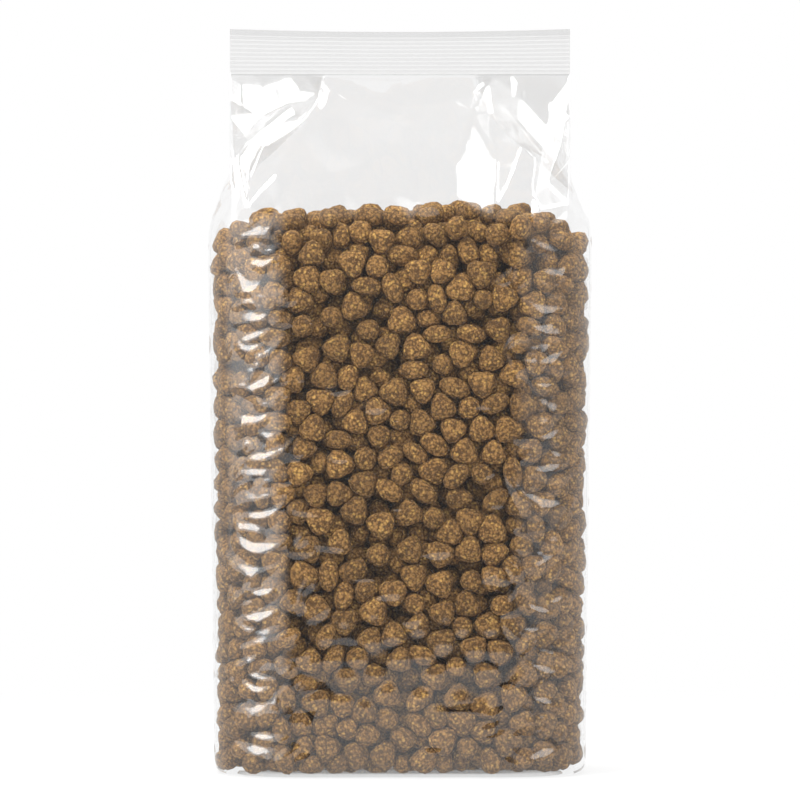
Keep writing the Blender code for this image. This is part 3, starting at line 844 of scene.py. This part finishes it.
# Corners of the front's creases in the clear headspace: across, up and out, in millimetres. The film is
# flat between them, so each triangle catches or misses the light as a whole. The first ones go round the
# patches that glint, with PATCH_SIDES corners each.
HEADSPACE = (
    (-71.1, 305.5, -3.2), (-61.3, 303.7, -1.1), (-44.4, 301.9, 1.5), (-35.5, 298.8, 3.0),
    (-48.8, 294.8, 0.3), (-63.1, 289.9, -3.2), (-71.1, 295.7, -2.4), (-34.2, 303.7, 0.9),
    (-29.7, 301.9, 0.4), (-30.3, 275.3, -3.2), (-33.3, 279.7, -1.9), (-32.9, 293.0, 0.1),
    (-73.7, 270.0, -0.4), (-71.2, 270.0, 0.5), (-65.8, 246.9, 3.1), (-71.3, 250.9, 0.8),
    (-37.3, 295.3, 1.3), (-45.8, 290.4, -0.4), (-59.1, 278.8, -0.1), (-65.7, 263.7, -3.2),
    (-67.9, 265.5, -3.0), (-62.6, 280.6, 2.1), (-48.8, 292.6, 1.8), (39.1, 306.4, 1.0),
    (40.8, 292.2, -1.6), (43.1, 270.8, -3.2), (42.2, 250.9, -1.2), (32.0, 246.4, 1.0),
    (24.5, 251.7, 1.7), (25.3, 268.6, 0.0), (31.1, 287.7, 3.2), (49.3, 305.5, 1.8),
    (52.4, 303.7, 1.1), (51.9, 297.0, 0.6), (49.3, 298.8, 1.4), (74.6, 304.6, 1.6),
    (75.5, 298.4, -0.2), (72.5, 279.7, -3.2), (65.7, 259.3, -3.2), (60.1, 246.4, 3.2),
    (56.5, 241.5, 0.0), (57.9, 253.1, 0.2), (62.6, 279.7, -0.6), (67.6, 295.3, 1.5),
    (43.7, 279.4, -1.6), (-58.9, 270.1, -1.0), (-3.0, 253.0, 0.3), (-15.8, 275.3, 0.0),
    (-29.2, 262.6, 0.0), (-4.2, 291.3, -1.5), (-18.2, 248.7, 0.0), (-42.5, 282.4, 0.9),
    (9.0, 268.0, 0.0), (16.4, 255.3, 0.3), (-60.2, 255.1, 0.7), (-54.1, 261.5, 1.7),
    (13.0, 284.8, 0.0), (-2.8, 276.5, -0.1), (-16.1, 266.8, 0.0), (59.4, 267.6, 2.1),
    (46.4, 258.9, -0.3), (-2.6, 264.4, 0.0), (-48.0, 275.0, 0.0), (-13.8, 284.6, 0.0),
    (-24.2, 255.3, 0.1), (24.4, 298.3, 0.0), (5.4, 298.1, 0.0), (-12.2, 296.0, -0.6),
    (54.6, 285.7, 0.0), (6.8, 278.2, 0.0), (24.6, 281.4, 0.0), (-52.8, 250.2, -0.2),
    (-33.9, 255.4, 0.0), (53.3, 273.8, 3.2), (6.6, 257.3, 0.0), (-24.2, 288.4, 0.0),
    (-12.1, 258.4, 0.1), (-43.6, 250.6, 0.0), (-41.2, 260.7, 0.4), (-52.1, 284.4, 0.0),
    (13.9, 295.9, -0.5), (11.0, 248.3, 2.0), (4.3, 286.9, 0.0), (33.2, 299.6, 0.1),
    (-4.4, 299.9, 0.3), (15.6, 274.5, 0.0), (-21.9, 297.5, -0.4), (-38.8, 271.4, 0.1),
)
PATCH_SIDES = (7, 5, 4, 7, 8, 4, 9)


def patch_edges(first):
    """The edges round the glinting patches, whose corners start at number first."""
    edges = []
    for sides in PATCH_SIDES:
        edges += [(first + i, first + (i + 1) % sides) for i in range(sides)]
        first += sides
    return edges


def on_facets(corners, edges, values, places):
    """The value at each place on the flat triangles between corners, or nothing outside them."""
    out = np.full((len(places), 3), np.nan)
    made = delaunay_2d_cdt([Vector(corner) for corner in corners], edges, [], 0, 1e-4)
    for triangle in made[2]:
        face = [made[3][i][0] for i in triangle]
        a, b, c = (np.array(corners[i]) for i in face)
        ab, ac, ap = b - a, c - a, places - a
        area = ab[0] * ac[1] - ab[1] * ac[0]
        if abs(area) < 1e-6:
            continue
        v = (ap[:, 0] * ac[1] - ap[:, 1] * ac[0]) / area
        w = (ab[0] * ap[:, 1] - ab[1] * ap[:, 0]) / area
        inside = (v > -1e-6) & (w > -1e-6) & (v + w < 1 + 1e-6)
        share = np.stack([1 - v - w, v, w], axis=-1)[inside]
        out[inside] = share @ values[face]
    return out


def headspace_film(points, u, z):
    """The film's points moved onto flat facets in the clear headspace, with sharp creases between them."""
    b, m = bag(), measures()
    rng = np.random.default_rng(b.crease_seed)
    q, panel, top, low = m["quarter"] / MM, m["half_panel"] / MM, m["seal_base"] / MM, 240
    out_ways = outward(points)
    wide = u / MM
    tall = z / MM
    moved = points.copy()
    gap = b.fold_gap / MM
    strips = (
        (-panel, panel, True),
        (panel + gap, q, False),
        (q, 2 * q - panel - gap, False),
        (2 * q - panel, 2 * q + panel, False),
        (2 * q + panel + gap, 3 * q, False),
        (3 * q, 4 * q - panel - gap, False),
    )
    rows = np.nonzero((tall > low) & (tall <= top + 0.01))[0]
    for left, right, front in strips:
        corners = []
        steps = max(2, round((right - left) / 9))
        corners += [(x, h, 0) for x in np.linspace(left, right, steps + 1) for h in (low, top)]
        corners += [(x, h, 0) for x in (left, right) for h in np.linspace(low, top, 8)[1:-1]]
        edges = []
        if front:
            edges = patch_edges(len(corners))
            corners += HEADSPACE
        else:
            for _ in range(400):
                x, h = rng.uniform(left + 4, right - 4), rng.uniform(low + 4, top - 4)
                if all(math.hypot(x - a, h - c) > 11 for a, c, _ in corners):
                    corners.append((x, h, rng.normal(0, 1.2)))
        flat = [(x, h) for x, h, _ in corners]
        column = [np.argmin(np.abs((wide - x + 2 * q) % (4 * q) - 2 * q)) for x, _, _ in corners]
        row = [np.argmin(np.abs(tall - h)) for _, h, _ in corners]
        rise = np.array([out for _, _, out in corners])[:, None] * MM
        values = points[row, column] + out_ways[row, column] * rise
        about = (wide - (left + right) / 2 + 2 * q) % (4 * q) - 2 * q + (left + right) / 2
        columns = np.nonzero((about > left - 0.02) & (about < right + 0.02))[0]
        grid_x, grid_z = np.meshgrid(about[columns], tall[rows])
        places = np.stack([grid_x.ravel(), grid_z.ravel()], axis=-1)
        found = on_facets(flat, edges, values, places).reshape(*grid_x.shape, 3)
        share = smooth_step((grid_z - low) / 8)[..., None]
        patch = moved[np.ix_(rows, columns)]
        moved[np.ix_(rows, columns)] = np.where(np.isnan(found), patch, patch + share * (found - patch))
    return moved


def outward(points):
    """The film's outward directions, from its rows and columns of points."""
    along = np.roll(points, -1, axis=1) - np.roll(points, 1, axis=1)
    up = np.gradient(points, axis=0)
    normal = np.cross(along, up)
    return normal / np.maximum(np.linalg.norm(normal, axis=2, keepdims=True), 1e-12)


WRINKLE_SEED = 21


def fine_wrinkles(u, z):
    """How far the clear film over the fill stands off in its small wrinkles."""
    m = measures()
    rng = np.random.default_rng(WRINKLE_SEED)
    height = np.zeros((len(z), len(u)))
    for _ in range(420):
        spot = (rng.uniform(0, 4 * m["quarter"]), rng.uniform(244 * MM, m["seal_base"] - 3 * MM))
        size = rng.uniform(3, 9) * MM
        turn = rng.choice([0.5, 1.5, 2.6])
        add_bump(height, u, z, spot, 1.5 * size, crease(rng, size, rng.uniform(0.03, 0.12) * MM, turn, 0.1))
    return height


def film_relief(points, u, z, places):
    """Moves the film's points off their plain shape."""
    m = measures()
    heights = z[:, 0]
    body = body_relief(u, heights, places)
    fade = smooth_step(heights / (8 * MM)) * (1 - smooth_step((heights - 234 * MM) / (20 * MM)))
    space = headspace_film(points, u, heights)
    fine = fine_wrinkles(u, heights) * smooth_step((m["seal_base"] - heights) / (6 * MM))[:, None]
    return space + outward(points) * (body * fade[:, None] + fine)[..., None]


def film_mesh(points):
    """The film as one closed surface: a grid round the bag, closed across the base and sewn at the top."""
    rows, columns, _ = points.shape
    index = np.arange(rows * columns).reshape(rows, columns)
    after = np.roll(index, -1, axis=1)
    faces = np.stack([index[:-1], after[:-1], after[1:], index[1:]], axis=-1).reshape(-1, 4).tolist()
    all_points = points.reshape(-1, 3).tolist()
    ring, low = points[0], index[0]
    for share in (0.75, 0.5, 0.25):
        new = np.arange(len(all_points), len(all_points) + columns)
        all_points += (ring * (share, share, 1)).tolist()
        faces += np.stack([new, np.roll(new, -1), np.roll(low, -1), low], axis=-1).tolist()
        low = new
    all_points.append((0, 0, ring[0][2]))
    middle = len(all_points) - 1
    faces += [(middle, int(b), int(a)) for a, b in zip(low, np.roll(low, -1))]
    top = index[-1]
    half = columns // 2
    for i in range(half - 1):
        a, c = i - half // 2, half - (i - half // 2)
        faces.append([int(top[j % columns]) for j in (a, a + 1, c - 1, c)])
    return mesh_object("film", all_points, faces)


def seal_tree():
    """Geometry nodes that press a band's ribs into it, plain near its top edge, and let that edge dip."""
    sizes = ("Height", "Half Width", "Rib Pitch", "Rib Depth", "Plain Edge", "Sag")
    tree, start = new_tree("Heat seal", {**dict.fromkeys(sizes, "Float"), "Material": "Material"})
    position = node(tree, "GeometryNodeInputPosition").outputs[0]
    place = node(tree, "ShaderNodeSeparateXYZ", {0: position}).outputs
    turn = maths(tree, "MULTIPLY", maths(tree, "DIVIDE", place["Z"], start["Rib Pitch"]), 2 * math.pi)
    wave = maths(tree, "MULTIPLY", maths(tree, "SINE", turn), start["Rib Depth"])
    room = maths(tree, "DIVIDE", maths(tree, "SUBTRACT", start["Height"], place["Z"]), start["Plain Edge"])
    fade = maths(tree, "MINIMUM", maths(tree, "MAXIMUM", maths(tree, "SUBTRACT", room, 0.3), 0.0), 1.0)
    ribs = maths(tree, "MULTIPLY", wave, fade)
    share = maths(tree, "DIVIDE", place["X"], start["Half Width"])
    middle = maths(tree, "SUBTRACT", 1.0, maths(tree, "MULTIPLY", share, share))
    up = maths(tree, "DIVIDE", place["Z"], start["Height"])
    dip = maths(tree, "MULTIPLY", maths(tree, "MULTIPLY", middle, start["Sag"]), maths(tree, "MULTIPLY", up, -1.0))
    offset = node(tree, "ShaderNodeCombineXYZ", {"Y": ribs, "Z": dip})
    moved = node(
        tree, "GeometryNodeSetPosition", {"Geometry": start["Geometry"], "Offset": offset.outputs[0]}
    )
    solid = node(tree, "GeometryNodeRealizeInstances", {"Geometry": moved.outputs["Geometry"]})
    finish = node(
        tree,
        "GeometryNodeSetMaterial",
        {"Geometry": solid.outputs["Geometry"], "Material": start["Material"]},
    )
    node(tree, "NodeGroupOutput", {"Geometry": finish.outputs["Geometry"]})
    return tree


def band(name, half_width, height, half_thickness, columns, rows):
    """A thin upright band as a closed grid: its bottom edge at zero height."""
    x = np.linspace(-half_width, half_width, columns + 1)
    z = np.linspace(0, height, rows + 1)
    grid_x, grid_z = np.meshgrid(x, z)
    front = np.stack([grid_x, grid_x * 0 - half_thickness, grid_z], axis=-1)
    points = np.concatenate([front, front[:, ::-1] * (1, -1, 1)], axis=1)
    index = np.arange(points.shape[0] * points.shape[1]).reshape(points.shape[:2])
    after = np.roll(index, -1, axis=1)
    faces = np.stack([index[:-1], after[:-1], after[1:], index[1:]], axis=-1).reshape(-1, 4).tolist()
    last = 2 * columns + 1
    for row, way in ((index[0], -1), (index[-1], 1)):
        for i in range(columns):
            faces.append([int(row[j]) for j in (i, i + 1, last - i - 1, last - i)][::way])
    return mesh_object(name, points.reshape(-1, 3).tolist(), faces)


class BAG_OT_seals(bpy.types.Operator):
    """Makes the ribbed seals across the top and under the base"""

    bl_idname = "bag.seals"
    bl_label = "Seals"

    def execute(self, context):
        b, m = bag(), measures()
        tree = seal_tree()
        material = film_material("welded_film", 0.03, 0.095, 1.8)
        seals = (
            ("top_seal", b.seal_height, b.seal_ribs, b.seal_sag, 4.5 * MM, 0.35 * MM),
            ("bottom_seal", b.bottom_seal_width, b.bottom_ribs, 0, 1 * MM, 0.15 * MM),
        )
        for name, height, ribs, sag, plain, half_thickness in seals:
            half_width = m["half_panel"]
            if name == "bottom_seal":
                half_width = body_halves(0)[0] - b.base_edge - b.base_rim - b.corner / 2
            made = band(name, half_width, height, half_thickness, 60, 10 * ribs)
            values = {
                "Height": height,
                "Half Width": half_width,
                "Rib Pitch": height / ribs,
                "Rib Depth": b.rib_depth * 0.8,
                "Plain Edge": plain,
                "Sag": sag,
                "Material": material,
            }
            through_tree(made, tree, values)
            if name == "top_seal":
                place = Matrix.Translation((0, 0, m["seal_base"]))
            else:
                flat = Matrix.Rotation(math.pi / 2, 4, "X")
                place = Matrix.Translation((0, height / 2, b.base_hollow / 2)) @ flat
            made.data.transform(place)
            made.data.set_sharp_from_angle(angle=math.radians(50))
            settle(made, "clear_film")
        return {"FINISHED"}


def turned(azimuth, elevation, distance):
    """A place at an angle round the bag from the camera's side, and above the level."""
    a, e = math.radians(azimuth), math.radians(elevation)
    return Vector((math.sin(a) * math.cos(e), -math.cos(a) * math.cos(e), math.sin(e))) * distance


# The stage: how far the floor reaches in metres, the camera's sensor in millimetres and the width that it
# sees at the bag in metres, how bright the studio is towards the camera and over it, and the lamps, each with
# its place and size in metres and its power in watts
FLOOR_SIDE = 2.5
SENSOR = 36
VIEW_WIDTH = 0.8 / 2.252
DIM = 0.08
OVERHEAD = 0.5
LAMPS = (
    ("key", (-0.2, -0.32, 0.64), 0.36, 0.3, 3.6),
    ("fill", (0.25, -1.3, 0.5), 0.9, 0.7, 8.0),
    ("overhead", (0.0, 0.45, 1.5), 1.4, 0.5, 14.0),
)


def floor_material():
    """Matt white studio floor. It glows pure white a little way off the bag and in what the film mirrors, and
    keeps the bag's soft shadow near it."""
    material, tree = new_material("pale_floor")
    path = node(tree, "ShaderNodeLightPath").outputs
    colour_of_floor = (*bpy.context.scene.stage_sizes.floor, 1)
    paint = node(tree, "ShaderNodeBsdfDiffuse", {"Color": colour_of_floor}).outputs[0]
    glow = node(tree, "ShaderNodeEmission", {"Color": (1, 1, 1, 1), "Strength": 1.0}).outputs[0]
    place = node(tree, "ShaderNodeTexCoord").outputs["Object"]
    away = node(tree, "ShaderNodeVectorMath", {0: place}, operation="LENGTH").outputs["Value"]
    glowing = mapped(tree, away, 0.15, 0.6, 0.8, 1.0, "SMOOTHSTEP")
    seen = maths(tree, "MULTIPLY", path["Is Camera Ray"], glowing)
    share = maths(tree, "MAXIMUM", seen, path["Is Glossy Ray"])
    mixed = node(tree, "ShaderNodeMixShader", {0: share, 1: paint, 2: glow}).outputs[0]
    node(tree, "ShaderNodeOutputMaterial", {"Surface": mixed})
    return material


def studio_world():
    """The studio round the bag: white behind it, dim towards the camera, with panels of light that only the
    film mirrors. The camera sees it as pure white."""
    stage = bpy.context.scene.stage_sizes
    world = bpy.data.worlds.new("studio")
    world.use_nodes = True
    tree = world.node_tree
    tree.nodes.clear()
    path = node(tree, "ShaderNodeLightPath").outputs
    way = node(tree, "ShaderNodeTexCoord").outputs["Generated"]
    parts = node(tree, "ShaderNodeSeparateXYZ", {0: way}).outputs
    level = DIM
    for part, low, high, most in (("Z", 0.2, 0.65, OVERHEAD), ("Y", -0.1, 0.5, 1.0)):
        level = mapped(tree, parts[part], low, high, level, most, "SMOOTHSTEP")
    # Each panel's azimuth, elevation, reach and soft edge in degrees, and its strength
    panels = (
        (-58, 38, 34, 9, stage.left_panel),
        (58, 38, 34, 9, stage.right_panel),
        (-57, 8, 56, 34, stage.left_panel / 2.6),
        (58, 8, 56, 30, stage.right_panel / 4.5),
        (-56, 60, 17, 6, 5),
        (56, 60, 17, 6, 5),
    )
    for azimuth, elevation, reach, edge, strength in panels:
        middle = turned(azimuth, elevation, 1)
        toward = node(tree, "ShaderNodeVectorMath", {0: way, 1: middle}, operation="DOT_PRODUCT")
        near, far = math.cos(math.radians(reach - edge)), math.cos(math.radians(reach))
        panel = mapped(tree, toward.outputs["Value"], far, near, 0, strength, "SMOOTHSTEP")
        level = maths(tree, "MULTIPLY_ADD", panel, path["Is Glossy Ray"], level)
    sky = mixed_colours(tree, path["Is Camera Ray"], level, (1, 1, 1, 1))
    backdrop = node(tree, "ShaderNodeBackground", {"Color": sky, "Strength": 1.0})
    node(tree, "ShaderNodeOutputWorld", {"Surface": backdrop.outputs[0]})
    return world


class BAG_OT_stage(bpy.types.Operator):
    """Makes the floor, the lights and the camera"""

    bl_idname = "bag.stage"
    bl_label = "Stage"

    def execute(self, context):
        stage = context.scene.stage_sizes
        front, side = -stage.floor_front, FLOOR_SIDE
        corners = [(-side, front, 0), (side, front, 0), (side, side, 0), (-side, side, 0)]
        floor = mesh_object("floor", corners, [(0, 1, 2, 3)], floor_material(), smooth=False)
        context.scene.world = studio_world()
        middle = Vector((0, 0, stage.camera_height))
        for name, place, wide, tall, power in LAMPS:
            lamp = bpy.data.lights.new(name, "AREA")
            lamp.shape = "RECTANGLE"
            lamp.size, lamp.size_y = wide, tall
            lamp.energy = power
            made = bpy.data.objects.new(name, lamp)
            made.location = place
            made.rotation_euler = (middle - Vector(place)).to_track_quat("-Z", "Y").to_euler()
            made.visible_camera = False
            made.visible_glossy = False
            context.scene.collection.objects.link(made)
        camera = bpy.data.cameras.new("camera")
        camera.lens = SENSOR * stage.camera_distance / VIEW_WIDTH
        camera.clip_end = 100
        made = bpy.data.objects.new("camera", camera)
        made.location = (0, -stage.camera_distance, stage.camera_height)
        made.rotation_euler = (math.pi / 2, 0, 0)
        context.scene.collection.objects.link(made)
        context.scene.camera = made
        context.scene.view_settings.view_transform = "Standard"
        return {"FINISHED"}


class BAG_PT_panel(bpy.types.Panel):
    """The bag's sizes, colours and makers"""

    bl_label = "Pet Food Bag"
    bl_idname = "BAG_PT_panel"
    bl_space_type = "VIEW_3D"
    bl_region_type = "UI"
    bl_category = "Pet Food Bag"

    def draw(self, context):
        scene = context.scene
        for name in GROUPS:
            group = getattr(scene, name)
            box = self.layout.box()
            for setting in group.__annotations__:
                box.prop(group, setting)
        for operator in OPERATORS:
            self.layout.operator(operator.bl_idname)


OPERATORS = (BAG_OT_kibble, BAG_OT_film, BAG_OT_seals, BAG_OT_stage)
GROUPS = {
    "bag_sizes": BagSizes,
    "kibble_sizes": KibbleSizes,
    "film_finish": FilmFinish,
    "stage_sizes": StageSizes,
}


def register():
    """Adds the bag's settings, operators and panel to Blender."""
    for item in (*GROUPS.values(), *OPERATORS, BAG_PT_panel):
        bpy.utils.register_class(item)
    for name, group in GROUPS.items():
        setattr(bpy.types.Scene, name, PointerProperty(type=group))


def unregister():
    """Takes them out again."""
    for name in GROUPS:
        delattr(bpy.types.Scene, name)
    for item in reversed((*GROUPS.values(), *OPERATORS, BAG_PT_panel)):
        bpy.utils.unregister_class(item)


def main():
    """Makes the bag and its stage."""
    register()
    bpy.ops.bag.kibble()
    bpy.ops.bag.film()
    bpy.ops.bag.seals()
    bpy.ops.bag.stage()


if __name__ == "__main__":
    main()
